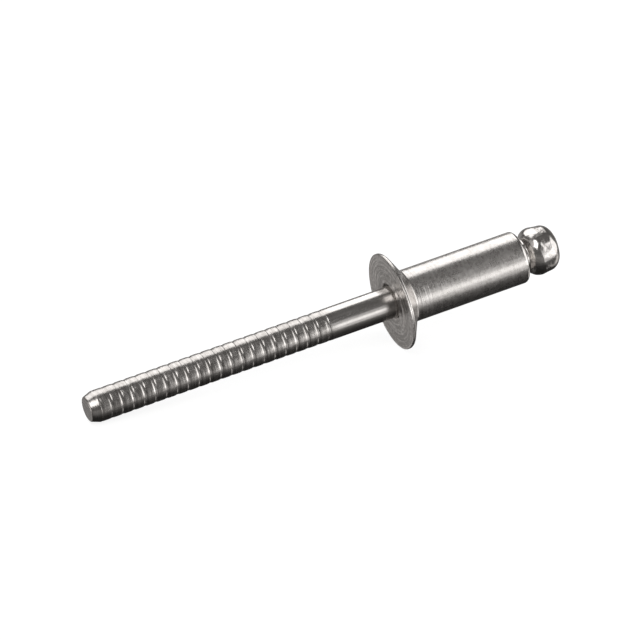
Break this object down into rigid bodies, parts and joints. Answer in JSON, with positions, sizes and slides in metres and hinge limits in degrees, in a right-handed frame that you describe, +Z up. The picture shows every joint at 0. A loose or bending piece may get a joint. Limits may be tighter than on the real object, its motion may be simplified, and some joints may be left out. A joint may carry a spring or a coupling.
{
  "type": "pop rivet",
  "caption": "Stainless steel pop rivet with a thin flat-faced countersunk flange, a plain sleeve and a pull mandrel with ring grooves and a formed head, lying on its side.",
  "frame": {"origin": "middle of the bounding box's bottom, on the surface that the rivet lies on", "axes": "+Z up, +X towards the formed head and level; the rivet's own axis lies in the XZ plane and rises 6.0 degrees towards +X"},
  "size_m": [0.0478, 0.0092, 0.0093],
  "materials": {
    "body_steel": "satin",
    "mandrel_steel": "satin"
  },
  "bodies": {
    "root": {"rivet_body": "body_steel", "mandrel": "mandrel_steel"}
  },
  "joints": []
}
